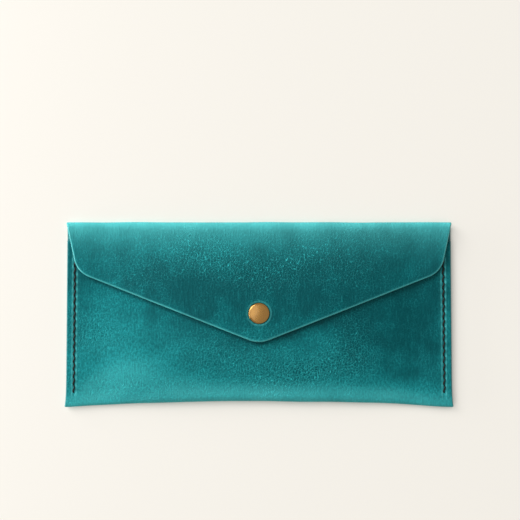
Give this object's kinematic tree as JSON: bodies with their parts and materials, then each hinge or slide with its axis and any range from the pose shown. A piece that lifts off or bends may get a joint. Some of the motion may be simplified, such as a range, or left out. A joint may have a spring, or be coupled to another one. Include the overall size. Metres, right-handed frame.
{
  "type": "envelope wallet",
  "caption": "Long envelope wallet folded from one leather skin, with stitched sides and a pointed flap closed by a ring snap.",
  "frame": {"origin": "under the middle of the closed wallet, on the surface it lies on", "axes": "+X along the wallet, +Y from the bottom fold to the top fold, +Z out of its front"},
  "size_m": [0.2, 0.095, 0.0124],
  "materials": {
    "teal_leather": "waxy pull-up leather with a soft sheen",
    "waxed_thread": "waxed, dark brown",
    "antique_brass": "satin, slightly aged",
    "spring_steel": "drawn wire"
  },
  "bodies": {
    "wallet": {"leather_body": "teal_leather", "left_seam_thread": "waxed_thread", "right_seam_thread": "waxed_thread", "snap_stud": "antique_brass", "snap_post": "antique_brass"},
    "flap": {"leather_flap": "teal_leather", "snap_cap": "antique_brass", "snap_socket": "antique_brass", "snap_spring": "spring_steel"}
  },
  "joints": [
    {"name": "flap_hinge", "type": "hinge", "parent": "wallet", "child": "flap", "pos_m": [0, 0.0475, 0.00375], "axis": [-1, 0, 0], "range_deg": [0, 155]}
  ]
}
